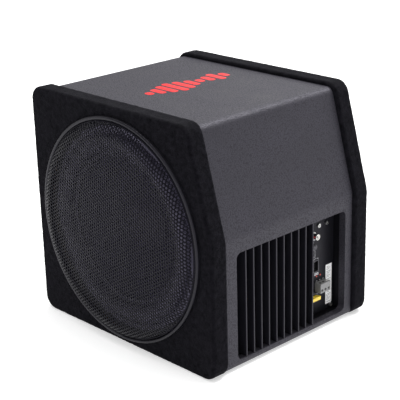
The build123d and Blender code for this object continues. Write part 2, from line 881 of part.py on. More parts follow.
with BuildPart() as terminal_screws:
    terminal_rods(screw_radius, screw_bottom, terminal_top + 0.4, Mode.ADD)
    for step in terminal_steps:
        slot_depth = (terminal_at[0] + step - 0.3, terminal_at[0] + step + 0.3)
        block((screw_x - 3, screw_x + 3), slot_depth, (terminal_top - 0.6, terminal_top + 1), Mode.SUBTRACT)
finish(terminal_screws, "terminal_screws")

# ---- Fuse ----

fuse_body = (19.2, 5.2)
fuse_room = 0.3
holder_front = panel_face + 4
pocket_base = panel_face - 4
blade = (5.2, 0.7)
blade_offset = 6.2
with BuildPart() as fuse_holder:
    patch(fuse_at, (jack_board[1], holder_front), holder_size)
    pocket = (fuse_body[0] + 2 * fuse_room, fuse_body[1] + 2 * fuse_room)
    patch(fuse_at, (pocket_base, holder_front + 1), pocket, Mode.SUBTRACT)
    for side in (-1, 1):
        slot_at = (fuse_at[0] + side * blade_offset, fuse_at[1])
        slot = (blade[0] + 2 * fuse_room, blade[1] + 2 * fuse_room)
        patch(slot_at, (jack_board[1] + 2, pocket_base + 1), slot, Mode.SUBTRACT)
finish(fuse_holder, "fuse_holder")

fuse_base = pocket_base + fuse_room
fuse_tip = holder_front + 7
with BuildPart() as fuse:
    patch(fuse_at, (fuse_base, fuse_tip), fuse_body)
    for side in (-1, 1):
        notch_at = (fuse_at[0] + side * fuse_body[0] / 2, fuse_at[1])
        patch(notch_at, (fuse_base, fuse_tip - 5), (3.0, fuse_body[1]), Mode.SUBTRACT)
    fillet(fuse.faces().sort_by(Axis.X)[-1].edges(), 0.6)
    for side in (-1, 1):
        blade_at = (fuse_at[0] + side * blade_offset, fuse_at[1])
        patch(blade_at, (jack_board[1] + 3, fuse_base), blade)
finish(fuse, "fuse")

# ---- Knobs, switch and lamps ----

pot_front = base_face - 2
pot_body = (11.0, 11.0)
shaft_end = pot_front - 4
with BuildPart() as potentiometers:
    for place in pot_places:
        patch(place, (jack_board[1], pot_front), pot_body)
        rod(place, (pot_front, panel_face - 0.1), bushing_radius)
        rod(place, (shaft_end - 0.5, panel_face + 1), shaft_radius + running_gap, Mode.SUBTRACT)
finish(potentiometers, "potentiometers")

knob_face = panel_face + 7.5
for place, label in (
    (gain_at, "gain_knob"),
    (crossover_at, "crossover_knob"),
    (boost_at, "boost_knob"),
):
    with BuildPart() as knob:
        rod(place, (shaft_end, panel_face + 1), shaft_radius)
        rod(place, (panel_face + 0.5, knob_face), knob_radius)
        for turn in range(12):
            angle = math.tau * turn / 12
            groove = (
                place[0] + knob_radius * math.cos(angle),
                place[1] + knob_radius * math.sin(angle),
            )
            rod(groove, (panel_face + 2, knob_face + 1), 0.45, Mode.SUBTRACT)
        pointer = (place[0], place[1] + knob_radius * 0.6)
        patch(pointer, (knob_face - 0.7, knob_face + 1), (0.8, knob_radius * 0.8), Mode.SUBTRACT)
    finish(knob, label)

switch_throw = 4.0
slider_size = (2.6, 2.6)
slider_at = (phase_at[0], phase_at[1] - switch_throw / 2)
with BuildPart() as phase_switch:
    patch(phase_at, (jack_board[1], panel_back), (7.0, 13.0))
    patch(phase_at, (panel_back - 5, panel_back + 1), switch_slot, Mode.SUBTRACT)
finish(phase_switch, "phase_switch")

with BuildPart() as phase_slider:
    patch(slider_at, (panel_back - 4.7, panel_face + 2.5), slider_size)
finish(phase_slider, "phase_slider")

with BuildPart() as status_leds:
    for place in leds_at:
        rod(place, (panel_face - 4, panel_face + 1), led_radius)
    domes = status_leds.faces().filter_by(Axis.X).group_by(Axis.X)[-1]
    fillet(domes.edges(), 0.9)
finish(status_leds, "status_leds")

label_bottom = amp_screw_rows[0] + 3.5
label_size = (13.0, label_top - label_bottom)
label_at = (label_depth, (label_top + label_bottom) / 2)
with BuildPart() as spec_label:
    patch(label_at, (panel_face, panel_face + 0.2), label_size)
finish(spec_label, "spec_label")

# ---- Screws that hold the amplifier ----

amp_head_radius = 3.0
amp_head = 2.0


def pan_screw(place, seat, end):
    """A pan-head screw with a cross recess, seated on a face that points right."""
    rod(place, (end, seat), amp_screw_shank)
    rod(place, (seat, seat + amp_head), amp_head_radius)
    for size in ((3.4, 0.8), (0.8, 3.4)):
        patch(place, (seat + 1, seat + amp_head + 1), size, Mode.SUBTRACT)


with BuildPart() as amp_screws:
    for spot in amp_screw_spots[:2]:
        pan_screw(spot, base_front, amp_screw_end)
    for spot in amp_screw_spots[2:]:
        pan_screw(spot, panel_face, amp_screw_end)
    for spot in brace_spots:
        pan_screw(spot, panel_face, panel_back - 3)
finish(amp_screws, "amp_screws")
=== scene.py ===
import math

import bpy
from mathutils import Matrix, Vector, noise


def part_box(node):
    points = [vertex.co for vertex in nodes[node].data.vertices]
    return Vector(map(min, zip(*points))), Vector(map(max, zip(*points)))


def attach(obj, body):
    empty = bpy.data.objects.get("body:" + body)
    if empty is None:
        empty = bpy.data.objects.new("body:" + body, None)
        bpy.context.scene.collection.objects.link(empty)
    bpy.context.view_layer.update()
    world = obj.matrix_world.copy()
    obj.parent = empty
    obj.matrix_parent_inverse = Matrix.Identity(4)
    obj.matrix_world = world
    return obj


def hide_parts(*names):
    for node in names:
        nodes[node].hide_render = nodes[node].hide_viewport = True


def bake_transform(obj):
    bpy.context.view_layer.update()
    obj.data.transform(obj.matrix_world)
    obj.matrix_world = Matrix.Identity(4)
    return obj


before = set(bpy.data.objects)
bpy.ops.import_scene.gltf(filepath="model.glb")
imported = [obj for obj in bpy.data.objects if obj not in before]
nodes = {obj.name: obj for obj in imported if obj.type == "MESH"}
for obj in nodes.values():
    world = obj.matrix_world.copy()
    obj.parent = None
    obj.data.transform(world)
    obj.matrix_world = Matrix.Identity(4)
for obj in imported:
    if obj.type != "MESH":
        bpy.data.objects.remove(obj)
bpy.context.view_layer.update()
print("frame loaded:", len(nodes), "nodes")

mm = 0.001
coolSheen = (0.88, 0.85, 1.0)
tinyLength = 1e-9


# shader groups shared by several finishes

def newGroup(name, inputs, outputs):
    group = bpy.data.node_groups.new(name, "ShaderNodeTree")
    for label, kind, value in inputs:
        socket = group.interface.new_socket(name=label, in_out="INPUT", socket_type=kind)
        if value is not None:
            socket.default_value = value
    for label, kind in outputs:
        group.interface.new_socket(name=label, in_out="OUTPUT", socket_type=kind)
    start = group.nodes.new("NodeGroupInput")
    end = group.nodes.new("NodeGroupOutput")
    start.location = (-900, 0)
    end.location = (700, 0)
    return group, start, end


def addNode(tree, kind, place=(0, 0), **settings):
    node = tree.nodes.new(kind)
    node.location = place
    for key, value in settings.items():
        setattr(node, key, value)
    return node


def mixColor(tree, place, factor, first, second, blend="MIX"):
    node = addNode(tree, "ShaderNodeMix", place, data_type="RGBA", blend_type=blend)
    for socket, value in ((node.inputs[0], factor), (node.inputs[6], first), (node.inputs[7], second)):
        if hasattr(value, "is_linked"):
            tree.links.new(value, socket)
        else:
            socket.default_value = value
    return node.outputs[2]


def mathNode(tree, place, operation, first, second=None):
    node = addNode(tree, "ShaderNodeMath", place, operation=operation)
    for socket, value in zip(node.inputs, (first, second)):
        if value is None:
            continue
        if hasattr(value, "is_linked"):
            tree.links.new(value, socket)
        else:
            socket.default_value = value
    return node.outputs[0]


def noiseNode(tree, place, vector, scale, detail=3.0, rough=0.55):
    node = addNode(tree, "ShaderNodeTexNoise", place)
    tree.links.new(vector, node.inputs["Vector"])
    if hasattr(scale, "is_linked"):
        tree.links.new(scale, node.inputs["Scale"])
    else:
        node.inputs["Scale"].default_value = scale
    node.inputs["Detail"].default_value = detail
    node.inputs["Roughness"].default_value = rough
    return node.outputs["Fac"]


def mapRange(tree, place, value, low, high, newLow, newHigh):
    node = addNode(tree, "ShaderNodeMapRange", place)
    tree.links.new(value, node.inputs["Value"])
    for label, number in zip(("From Min", "From Max", "To Min", "To Max"), (low, high, newLow, newHigh)):
        if hasattr(number, "is_linked"):
            tree.links.new(number, node.inputs[label])
        else:
            node.inputs[label].default_value = number
    return node.outputs["Result"]


# slow drift of tone and gloss over a surface
def buildMottle():
    group, start, end = newGroup(
        "surfaceMottle",
        [("Vector", "NodeSocketVector", None), ("Scale", "NodeSocketFloat", 30.0),
         ("Light", "NodeSocketColor", None), ("Dark", "NodeSocketColor", None),
         ("Gloss", "NodeSocketFloat", 0.5), ("Drift", "NodeSocketFloat", 0.1)],
        [("Color", "NodeSocketColor"), ("Roughness", "NodeSocketFloat")])
    drift = noiseNode(group, (-600, 100), start.outputs["Vector"], start.outputs["Scale"], 4.0, 0.6)
    spread = mapRange(group, (-400, 100), drift, 0.3, 0.7, 0.0, 1.0)
    color = mixColor(group, (-100, 150), spread, start.outputs["Dark"], start.outputs["Light"])
    low = mathNode(group, (-400, -150), "SUBTRACT", start.outputs["Gloss"], start.outputs["Drift"])
    high = mathNode(group, (-400, -300), "ADD", start.outputs["Gloss"], start.outputs["Drift"])
    gloss = mapRange(group, (-100, -150), drift, 0.3, 0.7, low, high)
    group.links.new(color, end.inputs["Color"])
    group.links.new(gloss, end.inputs["Roughness"])
    return group


# fine even tooth of moulded plastic, paint or cast metal
def buildTooth():
    group, start, end = newGroup(
        "fineTooth",
        [("Vector", "NodeSocketVector", None), ("Scale", "NodeSocketFloat", 900.0),
         ("Waviness", "NodeSocketFloat", 0.3)],
        [("Height", "NodeSocketFloat")])
    fine = noiseNode(group, (-600, 100), start.outputs["Vector"], start.outputs["Scale"], 2.0, 0.5)
    broad = mathNode(group, (-700, -150), "MULTIPLY", start.outputs["Scale"], 0.06)
    slow = noiseNode(group, (-500, -150), start.outputs["Vector"], broad, 2.0, 0.5)
    slowPart = mathNode(group, (-250, -150), "MULTIPLY", slow, start.outputs["Waviness"])
    total = mathNode(group, (0, 0), "ADD", fine, slowPart)
    group.links.new(total, end.inputs["Height"])
    return group


# bright rubbed edges
def buildWear():
    group, start, end = newGroup(
        "edgeWear",
        [("Vector", "NodeSocketVector", None), ("Threshold", "NodeSocketFloat", 0.53),
         ("Breakup", "NodeSocketFloat", 260.0)],
        [("Mask", "NodeSocketFloat")])
    shape = addNode(group, "ShaderNodeNewGeometry", (-900, 250))
    top = mathNode(group, (-700, 250), "ADD", start.outputs["Threshold"], 0.08)
    edge = mapRange(group, (-450, 250), shape.outputs["Pointiness"], start.outputs["Threshold"], top,
                    0.0, 1.0)
    speck = noiseNode(group, (-600, -50), start.outputs["Vector"], start.outputs["Breakup"], 4.0, 0.6)
    broken = mapRange(group, (-300, -50), speck, 0.4, 0.62, 0.15, 1.0)
    mask = mathNode(group, (0, 100), "MULTIPLY", edge, broken)
    group.links.new(mask, end.inputs["Mask"])
    return group


# dust that settles on faces that look up
def buildDust():
    group, start, end = newGroup(
        "dustFilm",
        [("Vector", "NodeSocketVector", None), ("Amount", "NodeSocketFloat", 0.2)],
        [("Mask", "NodeSocketFloat")])
    shape = addNode(group, "ShaderNodeNewGeometry", (-900, 250))
    parts = addNode(group, "ShaderNodeSeparateXYZ", (-700, 250))
    group.links.new(shape.outputs["Normal"], parts.inputs["Vector"])
    up = mapRange(group, (-500, 250), parts.outputs["Z"], 0.2, 1.0, 0.05, 1.0)
    patch = noiseNode(group, (-600, -50), start.outputs["Vector"], 55.0, 5.0, 0.65)
    grit = noiseNode(group, (-600, -250), start.outputs["Vector"], 1700.0, 1.0, 0.5)
    patchy = mapRange(group, (-350, -50), patch, 0.35, 0.7, 0.2, 1.0)
    gritty = mapRange(group, (-350, -250), grit, 0.45, 0.7, 0.3, 1.0)
    film = mathNode(group, (-100, 0), "MULTIPLY", patchy, gritty)
    settled = mathNode(group, (100, 0), "MULTIPLY", film, up)
    mask = mathNode(group, (300, 0), "MULTIPLY", settled, start.outputs["Amount"])
    group.links.new(mask, end.inputs["Mask"])
    return group


# matted fibres: tone, height
def buildPile():
    group, start, end = newGroup(
        "fibrePile",
        [("Vector", "NodeSocketVector", None), ("Tuft", "NodeSocketFloat", 700.0),
         ("Light", "NodeSocketColor", None), ("Dark", "NodeSocketColor", None)],
        [("Color", "NodeSocketColor"), ("Height", "NodeSocketFloat")])
    bend = noiseNode(group, (-1100, 0), start.outputs["Vector"], 160.0, 2.0, 0.5)
    bent = addNode(group, "ShaderNodeVectorMath", (-900, 0), operation="SCALE")
    group.links.new(bend, bent.inputs["Scale"])
    bent.inputs[0].default_value = (0.006, 0.004, 0.005)
    moved = addNode(group, "ShaderNodeVectorMath", (-700, 0), operation="ADD")
    group.links.new(start.outputs["Vector"], moved.inputs[0])
    group.links.new(bent.outputs["Vector"], moved.inputs[1])
    tuft = noiseNode(group, (-500, 150), moved.outputs["Vector"], start.outputs["Tuft"], 3.0, 0.75)
    wide = mathNode(group, (-700, -200), "MULTIPLY", start.outputs["Tuft"], 0.22)
    clump = noiseNode(group, (-500, -150), moved.outputs["Vector"], wide, 3.0, 0.6)
    both = mathNode(group, (-250, 0), "ADD", tuft, clump)
    tone = mapRange(group, (-50, 100), both, 0.75, 1.35, 0.0, 1.0)
    color = mixColor(group, (200, 150), tone, start.outputs["Dark"], start.outputs["Light"])
    group.links.new(color, end.inputs["Color"])
    group.links.new(both, end.inputs["Height"])
    return group


# small pebbles with creases between, as on embossed vinyl
def buildPebble():
    group, start, end = newGroup(
        "pebbleGrain",
        [("Vector", "NodeSocketVector", None), ("Scale", "NodeSocketFloat", 620.0),
         ("Crease", "NodeSocketFloat", 0.35)],
        [("Height", "NodeSocketFloat"), ("Creases", "NodeSocketFloat")])
    wobble = noiseNode(group, (-1100, 0), start.outputs["Vector"], 500.0, 2.0, 0.5)
    shift = addNode(group, "ShaderNodeVectorMath", (-900, 0), operation="SCALE")
    shift.inputs[0].default_value = (0.0016, 0.0012, 0.0014)
    group.links.new(wobble, shift.inputs["Scale"])
    moved = addNode(group, "ShaderNodeVectorMath", (-700, 0), operation="ADD")
    group.links.new(start.outputs["Vector"], moved.inputs[0])
    group.links.new(shift.outputs["Vector"], moved.inputs[1])
    cells = addNode(group, "ShaderNodeTexVoronoi", (-500, 100), feature="SMOOTH_F1")
    group.links.new(moved.outputs["Vector"], cells.inputs["Vector"])
    group.links.new(start.outputs["Scale"], cells.inputs["Scale"])
    cells.inputs["Smoothness"].default_value = 0.35
    hill = mapRange(group, (-250, 100), cells.outputs["Distance"], 0.0, 0.75, 1.0, 0.0)
    creaseShade = mapRange(group, (-250, -150), cells.outputs["Distance"], start.outputs["Crease"], 0.8,
                      0.0, 1.0)
    group.links.new(hill, end.inputs["Height"])
    group.links.new(creaseShade, end.inputs["Creases"])
    return group


mottleGroup = buildMottle()
toothGroup = buildTooth()
wearGroup = buildWear()
dustGroup = buildDust()
pileGroup = buildPile()
pebbleGroup = buildPebble()
print("shader groups built")


# finishes

def useGroup(tree, group, place, vector, **values):
    node = addNode(tree, "ShaderNodeGroup", place, node_tree=group)
    tree.links.new(vector, node.inputs["Vector"])
    for key, value in values.items():
        node.inputs[key].default_value = value
    return node


def rgba(color):
    return (color[0], color[1], color[2], 1.0)


def shade(color, factor):
    return tuple(min(1.0, channel * factor) for channel in color)


def startMaterial(name, metal=0.0):
    material = bpy.data.materials.new(name)
    material.use_nodes = True
    tree = material.node_tree
    shader = tree.nodes["Principled BSDF"]
    shader.inputs["Metallic"].default_value = metal
    place = addNode(tree, "ShaderNodeTexCoord", (-1400, 0))
    return material, tree, shader, place.outputs["Object"]


def addBump(tree, shader, height, strength, distance):
    bump = addNode(tree, "ShaderNodeBump", (-250, -400))
    bump.inputs["Strength"].default_value = strength
    bump.inputs["Distance"].default_value = distance
    tree.links.new(height, bump.inputs["Height"])
    tree.links.new(bump.outputs["Normal"], shader.inputs["Normal"])


# hard finish: plastic, paint, bare or anodised metal
def hardFinish(name, tint, gloss=0.45, metal=0.0, drift=0.08, contrast=0.25, mottle=40.0,
               tooth=900.0, bump=0.15, depth=0.0002, wear=None, dust=0.12, coat=0.0, specular=0.5,
               rightFaceHighlight=None):
    material, tree, shader, vector = startMaterial(name, metal)
    base = useGroup(tree, mottleGroup, (-1000, 200), vector, Scale=mottle, Gloss=gloss, Drift=drift,
                    Light=rgba(shade(tint, 1 + contrast)), Dark=rgba(shade(tint, 1 - contrast)))
    color = base.outputs["Color"]
    if wear:
        rubbed = useGroup(tree, wearGroup, (-1000, -100), vector, Threshold=wear["threshold"])
        color = mixColor(tree, (-700, 200), rubbed.outputs["Mask"], color, rgba(wear["tint"]))
    if rightFaceHighlight:  # painted highlight: faces turned to the right (+X), such as the fins' narrow outer edges, are coloured lighter
        shape = addNode(tree, "ShaderNodeNewGeometry", (-1200, 500))
        parts = addNode(tree, "ShaderNodeSeparateXYZ", (-1000, 500))
        tree.links.new(shape.outputs["Normal"], parts.inputs["Vector"])
        outer = mapRange(tree, (-800, 500), parts.outputs["X"], 0.6, 0.95, 0.0, 1.0)
        color = mixColor(tree, (-600, 400), outer, color, rgba(rightFaceHighlight))
    film = useGroup(tree, dustGroup, (-1000, -300), vector, Amount=dust)
    color = mixColor(tree, (-450, 200), film.outputs["Mask"], color, (0.30, 0.29, 0.28, 1.0))
    tree.links.new(color, shader.inputs["Base Color"])
    tree.links.new(base.outputs["Roughness"], shader.inputs["Roughness"])
    fine = useGroup(tree, toothGroup, (-700, -400), vector, Scale=tooth)
    addBump(tree, shader, fine.outputs["Height"], bump, depth)
    shader.inputs["Coat Weight"].default_value = coat
    shader.inputs["Coat Roughness"].default_value = 0.2
    shader.inputs["Specular IOR Level"].default_value = specular
    if not metal:
        shader.inputs["Specular Tint"].default_value = rgba(coolSheen)
    return material


# fibre finish: carpet, wadding, coated cloth
def fibreFinish(name, light, dark, tuft=700.0, bump=0.8, depth=0.0008, sheen=0.1, sheenTint=(1, 1, 1),
                specular=0.1):
    material, tree, shader, vector = startMaterial(name)
    pile = useGroup(tree, pileGroup, (-900, 100), vector, Tuft=tuft, Light=rgba(light), Dark=rgba(dark))
    film = useGroup(tree, dustGroup, (-900, -250), vector, Amount=0.05)
    color = mixColor(tree, (-450, 200), film.outputs["Mask"], pile.outputs["Color"], (0.2, 0.2, 0.2, 1.0))
    tree.links.new(color, shader.inputs["Base Color"])
    shader.inputs["Roughness"].default_value = 0.95
    shader.inputs["Specular IOR Level"].default_value = specular
    shader.inputs["Sheen Weight"].default_value = sheen
    shader.inputs["Sheen Roughness"].default_value = 0.4
    shader.inputs["Sheen Tint"].default_value = rgba(sheenTint)
    addBump(tree, shader, pile.outputs["Height"], bump, depth)
    return material


# the crease colour is painted shade in the creases between the pebbles
vinylFinish = {"light": (0.0240, 0.0225, 0.0300), "dark": (0.0150, 0.0142, 0.0188),
               "creaseShade": (0.011, 0.0106, 0.0135), "grainScale": 560.0, "gloss": 0.50,
               "drift": 0.05, "bump": 0.55, "depth": 0.00035}


def makeVinyl():
    look = vinylFinish
    material, tree, shader, vector = startMaterial("embossedVinyl")
    base = useGroup(tree, mottleGroup, (-1000, 200), vector, Scale=18.0, Gloss=look["gloss"],
                    Drift=look["drift"], Light=rgba(look["light"]), Dark=rgba(look["dark"]))
    grain = useGroup(tree, pebbleGroup, (-1000, -200), vector, Scale=look["grainScale"])
    # painted shade: the creases between the pebbles are coloured darker
    color = mixColor(tree, (-700, 200), grain.outputs["Creases"], base.outputs["Color"], rgba(look["creaseShade"]))
    film = useGroup(tree, dustGroup, (-1000, -450), vector, Amount=0.03)
    color = mixColor(tree, (-450, 200), film.outputs["Mask"], color, (0.20, 0.19, 0.22, 1.0))
    tree.links.new(color, shader.inputs["Base Color"])
    rough = mathNode(tree, (-650, -50), "ADD", base.outputs["Roughness"],
                     mathNode(tree, (-800, -80), "MULTIPLY", grain.outputs["Creases"], 0.25))
    tree.links.new(rough, shader.inputs["Roughness"])
    shader.inputs["Specular Tint"].default_value = rgba(coolSheen)
    addBump(tree, shader, grain.outputs["Height"], look["bump"], look["depth"])
    return material


# layered board with pale chips
def makeBoard():
    material, tree, shader, vector = startMaterial("pressedBoard")
    pile = useGroup(tree, pileGroup, (-900, 100), vector, Tuft=420.0,
                    Light=rgba((0.46, 0.33, 0.20)), Dark=rgba((0.27, 0.18, 0.10)))
    tree.links.new(pile.outputs["Color"], shader.inputs["Base Color"])
    shader.inputs["Roughness"].default_value = 0.8
    addBump(tree, shader, pile.outputs["Height"], 0.3, 0.0003)
    return material


# pressed fibre cone, with a faint grain
def makeCone():
    material, tree, shader, vector = startMaterial("pressedCone")
    # painted light: the cone is coloured lighter and bluer than a real cone, standing in for the light that
    # shows it through the grille
    base = useGroup(tree, mottleGroup, (-1000, 200), vector, Scale=60.0, Gloss=0.42, Drift=0.08,
                    Light=rgba((0.075, 0.067, 0.125)), Dark=rgba((0.048, 0.042, 0.080)))
    pile = useGroup(tree, pileGroup, (-1000, -200), vector, Tuft=900.0)
    film = useGroup(tree, dustGroup, (-1000, -450), vector, Amount=0.15)
    color = mixColor(tree, (-450, 200), film.outputs["Mask"], base.outputs["Color"], (0.25, 0.25, 0.25, 1.0))
    tree.links.new(color, shader.inputs["Base Color"])
    tree.links.new(base.outputs["Roughness"], shader.inputs["Roughness"])
    addBump(tree, shader, pile.outputs["Height"], 0.25, 0.0004)
    return material


lightEdge = {"threshold": 0.53, "tint": (0.16, 0.16, 0.18)}
faintEdge = {"threshold": 0.56, "tint": (0.10, 0.10, 0.11)}
finishes = {
    "carpet": fibreFinish("needledCarpet", (0.0105, 0.0098, 0.0132), (0.0014, 0.0014, 0.0022), sheen=0.030,
                          sheenTint=(0.85, 0.85, 1.0), specular=0.04),
    "vinyl": makeVinyl(),
    "board": makeBoard(),
    "blackSteel": hardFinish("blackSteel", (0.018, 0.018, 0.021), 0.42, wear=lightEdge),
    "meshPaint": hardFinish("meshPaint", (0.0024, 0.0021, 0.0050), 0.38, tooth=1500.0, wear=faintEdge,
                            dust=0.0, specular=0.12),
    "rimPaint": hardFinish("rimPaint", (0.0065, 0.0062, 0.0086), 0.34, tooth=1300.0, wear=faintEdge,
                           dust=0.03, specular=0.24),
    # painted light: the rubber is coloured much lighter and bluer than real rubber, standing in for the light
    # that shows the surround's rings through the grille
    "rubber": hardFinish("butylRubber", (0.150, 0.140, 0.205), 0.42, tooth=600.0, dust=0.05, specular=0.6),
    "cone": makeCone(),
    "former": hardFinish("formerFoil", (0.75, 0.75, 0.76), 0.3, 1.0, dust=0.0),
    "winding": hardFinish("copperWinding", (0.72, 0.38, 0.20), 0.3, 1.0, dust=0.0),
    "spider": fibreFinish("resinCloth", (0.60, 0.40, 0.15), (0.35, 0.20, 0.06), tuft=1200.0, sheen=0.0,
                          specular=0.4),
    "plated": hardFinish("zincPlate", (0.60, 0.60, 0.58), 0.3, 1.0, wear=lightEdge),
    "ferrite": hardFinish("ferrite", (0.05, 0.05, 0.055), 0.7, tooth=500.0, bump=0.3),
    # painted highlight: the heatsink's right-facing fin edges are coloured lighter
    "anodised": hardFinish("blackAnodised", (0.0090, 0.0088, 0.0120), 0.36, drift=0.05, contrast=0.08,
                           tooth=1600.0, bump=0.04, specular=0.22, dust=0.0, rightFaceHighlight=(0.030, 0.029, 0.036)),
    "panelPaint": hardFinish("panelPaint", (0.0060, 0.0060, 0.0080), 0.42, contrast=0.08, tooth=1400.0,
                             bump=0.06, dust=0.0, specular=0.22),
    "recess": hardFinish("recessPaint", (0.0030, 0.0030, 0.0040), 0.6, tooth=1400.0, dust=0.0, specular=0.10),
    "laminate": hardFinish("circuitLaminate", (0.02, 0.14, 0.06), 0.3),
    "component": hardFinish("componentBlack", (0.02, 0.02, 0.022), 0.5),
    "tape": hardFinish("toroidTape", (0.55, 0.45, 0.08), 0.35),
    "whitePlastic": hardFinish("whitePlastic", (0.80, 0.80, 0.78), 0.3, contrast=0.06, dust=0.05),
    "redPlastic": hardFinish("redPlastic", (0.60, 0.02, 0.02), 0.3, contrast=0.12, dust=0.05),
    "blackPlastic": hardFinish("blackPlastic", (0.012, 0.012, 0.013), 0.38, wear=faintEdge),
    "knobPlastic": hardFinish("knobPlastic", (0.014, 0.014, 0.015), 0.30, tooth=1800.0, wear=faintEdge),
    "greyPlastic": hardFinish("greyPlastic", (0.22, 0.22, 0.215), 0.38, contrast=0.1, dust=0.03),
    "nickel": hardFinish("nickelPlate", (0.74, 0.72, 0.68), 0.18, 1.0, contrast=0.08, dust=0.03),
    "fuse": hardFinish("fuseBody", (0.88, 0.62, 0.04), 0.22, contrast=0.10, coat=0.4, dust=0.03),
    "lens": hardFinish("lampLens", (0.45, 0.04, 0.02), 0.12, contrast=0.1, coat=0.6, dust=0.02),
    "label": hardFinish("labelPaper", (0.93, 0.93, 0.93), 0.5, contrast=0.03, dust=0.0),
    "print": hardFinish("whiteInk", (0.75, 0.75, 0.78), 0.6, contrast=0.12, dust=0.02),
    "decal": hardFinish("redDecal", (0.66, 0.018, 0.020), 0.42, contrast=0.05, tooth=560.0, bump=0.3,
                        depth=0.0003, dust=0.0, specular=0.22),
    "wadding": fibreFinish("polyesterWadding", (0.85, 0.85, 0.83), (0.6, 0.6, 0.58), tuft=300.0),
    "leadSheath": hardFinish("leadSheath", (0.06, 0.012, 0.012), 0.4),
}

finishOfNode = {
    "vinyl": ["vinyl_wrap"],
    "board": ["front_baffle", "rear_panel", "left_board", "top_board", "slant_board", "side_board",
              "bay_back_outer", "bay_step", "bay_back_inner", "battens"],
    "blackSteel": ["basket", "chassis", "driver_screws"],
    "panelPaint": ["connector_panel"],
    "recess": ["bay_ends", "bay_top", "bottom_board"],
    "rimPaint": ["grille_rim"],
    "rubber": ["mounting_gasket", "front_gasket"],
    "cone": ["cone", "dust_cap"],
    "former": ["voice_coil_former"],
    "winding": ["voice_coil"],
    "plated": ["top_plate", "yoke", "amp_screws"],
    "ferrite": ["magnet"],
    "anodised": ["heatsink"],
    "laminate": ["circuit_board"],
    "component": ["capacitors", "transistors", "potentiometers", "terminal_tabs"],
    "tape": ["toroid"],
    "whitePlastic": ["rca_left"],
    "redPlastic": ["rca_right"],
    "blackPlastic": ["high_level_socket", "remote_port", "fuse_holder", "phase_switch",
                     "phase_slider"],
    "knobPlastic": ["gain_knob", "crossover_knob", "boost_knob"],
    "greyPlastic": ["power_terminal"],
    "nickel": ["rca_sleeves", "terminal_screws"],
    "fuse": ["fuse"],
    "lens": ["status_leds"],
    "label": ["spec_label"],
    "decal": ["emblem"],
    "wadding": ["wadding"],
    "leadSheath": ["speaker_lead"],
}
for finish, names in finishOfNode.items():
    for name in names:
        obj = nodes[name]
        for slot in obj.material_slots:
            slot.material = finishes[finish]
print("finishes placed on", sum(len(names) for names in finishOfNode.values()), "CAD nodes")


# mesh helpers

def addMesh(name, points, faces, finish, smooth=True):
    mesh = bpy.data.meshes.new(name)
    mesh.from_pydata([tuple(point) for point in points], [], faces)
    mesh.validate()
    mesh.materials.append(finishes[finish])
    mesh.polygons.foreach_set("use_smooth", [smooth] * len(mesh.polygons))
    mesh.update()
    obj = bpy.data.objects.new(name, mesh)
    bpy.context.scene.collection.objects.link(obj)
    return obj


# quads between closed rings of equal count
def ringFaces(ringCount, perRing, closed=True):
    faces = []
    last = perRing if closed else perRing - 1
    for row in range(ringCount - 1):
        for step in range(last):
            after = (step + 1) % perRing
            faces.append((row * perRing + step, row * perRing + after,
                          (row + 1) * perRing + after, (row + 1) * perRing + step))
    return faces


# carpeted end panels

panelShape = {"slantRun": 41 * mm, "kinkHeight": 188 * mm, "cornerRadius": 20 * mm, "kinkRadius": 40 * mm,
              "edgeRadius": 4.5 * mm, "edgeSteps": 8, "lip": 6 * mm, "lipLap": 0.2 * mm, "around": 880,
              "arcStep": 0.6 * mm, "fewestArcSteps": 6, "holeRadius": 157 * mm, "rearMiddle": 4 * mm,
              "tuck": 2.5 * mm, "tuckTurn": 0.4 * mm, "frontRows": 40, "rearRows": 56, "sideRows": 16,
              "driverHeight": 167 * mm}
carpetPile = {"tuftSize": 2.6 * mm, "tuftHeight": 0.32 * mm, "clumpSize": 11 * mm,
              "clumpHeight": 0.22 * mm, "clumpShift": (9, 4, 2)}


# the panel's outline as evenly spaced points with outward normals, seen from the front
def panelOutline(low, high):
    shape = panelShape
    width = high[0] - low[0]
    corners = [(low[0], low[2]), (high[0], low[2]), (high[0], shape["kinkHeight"]),
               (low[0] + width - shape["slantRun"], high[2]), (low[0], high[2])]
    radii = [shape["cornerRadius"], shape["cornerRadius"], shape["kinkRadius"], shape["cornerRadius"],
             shape["cornerRadius"]]
    path = []
    for index, corner in enumerate(corners):
        here = Vector(corner)
        before = (Vector(corners[index - 1]) - here).normalized()
        after = (Vector(corners[(index + 1) % len(corners)]) - here).normalized()
        half = before.angle(after) / 2
        reach = radii[index] / math.tan(half)
        centre = here + (before + after).normalized() * (radii[index] / math.sin(half))
        first = here + before * reach - centre
        last = here + after * reach - centre
        sweep = first.angle_signed(last)
        steps = max(shape["fewestArcSteps"], int(abs(sweep) * radii[index] / shape["arcStep"]))
        for step in range(steps + 1):
            turn = -sweep * step / steps
            spoke = Vector((first.x * math.cos(turn) - first.y * math.sin(turn),
                            first.x * math.sin(turn) + first.y * math.cos(turn)))
            path.append((centre + spoke, spoke.normalized()))
    lengths = [0.0]
    for (here, _), (after, _) in zip(path, path[1:] + path[:1]):
        lengths.append(lengths[-1] + (after - here).length)
    points, normals = [], []
    slot = 0
    for step in range(shape["around"]):
        target = lengths[-1] * step / shape["around"]
        while lengths[slot + 1] < target:
            slot += 1
        share = (target - lengths[slot]) / max(lengths[slot + 1] - lengths[slot], tinyLength)
        here, after = path[slot], path[(slot + 1) % len(path)]
        points.append(here[0].lerp(after[0], share))
        normals.append(here[1].lerp(after[1], share).normalized())
    return points, normals


